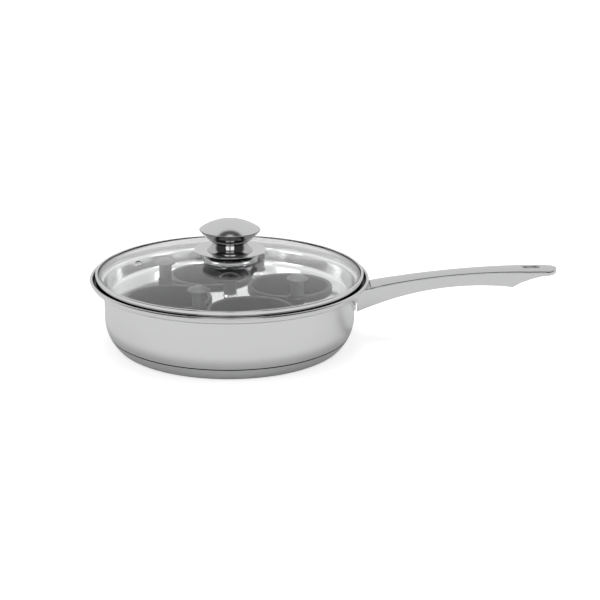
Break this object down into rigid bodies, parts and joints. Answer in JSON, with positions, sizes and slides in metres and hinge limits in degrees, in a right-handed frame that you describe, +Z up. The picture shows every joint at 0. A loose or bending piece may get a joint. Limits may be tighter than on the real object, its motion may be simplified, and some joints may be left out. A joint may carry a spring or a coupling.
{
  "type": "egg poacher pan",
  "caption": "Stainless sauté pan with a long channel handle, a drop-in tray, lift-out poaching cups and a domed glass lid with a knob.",
  "frame": {"origin": "centre of the flat underside, where the pan's axis meets the table", "axes": "+X along the handle, +Z up along the pan's axis, +Y away from the viewer of the picture"},
  "size_m": [0.4285, 0.254, 0.1146],
  "materials": {
    "satin_steel": "satin brushed stainless steel",
    "polished_steel": "polished stainless steel",
    "aluminium_core": "plain aluminium",
    "nonstick": "dark grey non-stick coating",
    "grey_plastic": "dark grey phenolic",
    "clear_glass": "clear tempered glass",
    "seal": "dark silicone"
  },
  "bodies": {
    "pan": {"pan_body": "satin_steel", "base_core": "aluminium_core", "base_cap": "satin_steel", "handle_bracket": "satin_steel", "handle": "satin_steel"},
    "tray_unit": {"tray": "polished_steel", "tray_knob": "grey_plastic", "tray_knob_screw": "polished_steel", "tray_knob_washer": "polished_steel"},
    "cup_unit_1": {"cup_1": "nonstick", "cup_knob_1": "grey_plastic", "cup_screw_1": "polished_steel"},
    "cup_unit_2": {"cup_2": "nonstick", "cup_knob_2": "grey_plastic", "cup_screw_2": "polished_steel"},
    "cup_unit_3": {"cup_3": "nonstick", "cup_knob_3": "grey_plastic", "cup_screw_3": "polished_steel"},
    "cup_unit_4": {"cup_4": "nonstick", "cup_knob_4": "grey_plastic", "cup_screw_4": "polished_steel"},
    "lid": {"lid_glass": "clear_glass", "lid_band": "polished_steel", "lid_gasket": "seal", "vent_eyelet": "polished_steel", "knob_cap": "satin_steel", "knob_bowl": "polished_steel", "knob_foot": "polished_steel", "knob_saucer": "polished_steel", "knob_upper_gasket": "seal", "knob_lower_gasket": "seal", "knob_backplate": "polished_steel", "knob_screw": "polished_steel"}
  },
  "joints": [
    {"name": "lid_lift", "type": "slide", "parent": "pan", "child": "lid", "axis": [0, 0, 1], "range_m": [0, 0.22]},
    {"name": "tray_lift", "type": "slide", "parent": "pan", "child": "tray_unit", "axis": [0, 0, 1], "range_m": [0, 0.09]},
    {"name": "cup_1_lift", "type": "slide", "parent": "tray_unit", "child": "cup_unit_1", "axis": [0, 0, 1], "range_m": [0, 0.045]},
    {"name": "cup_2_lift", "type": "slide", "parent": "tray_unit", "child": "cup_unit_2", "axis": [0, 0, 1], "range_m": [0, 0.045]},
    {"name": "cup_3_lift", "type": "slide", "parent": "tray_unit", "child": "cup_unit_3", "axis": [0, 0, 1], "range_m": [0, 0.045]},
    {"name": "cup_4_lift", "type": "slide", "parent": "tray_unit", "child": "cup_unit_4", "axis": [0, 0, 1], "range_m": [0, 0.045]}
  ],
  "couplings": [
    {"joint": "tray_lift", "follows": "lid_lift", "ratio": 0.4},
    {"joint": "cup_1_lift", "follows": "lid_lift", "ratio": 0.2},
    {"joint": "cup_2_lift", "follows": "lid_lift", "ratio": 0.2},
    {"joint": "cup_3_lift", "follows": "lid_lift", "ratio": 0.2},
    {"joint": "cup_4_lift", "follows": "lid_lift", "ratio": 0.2}
  ]
}
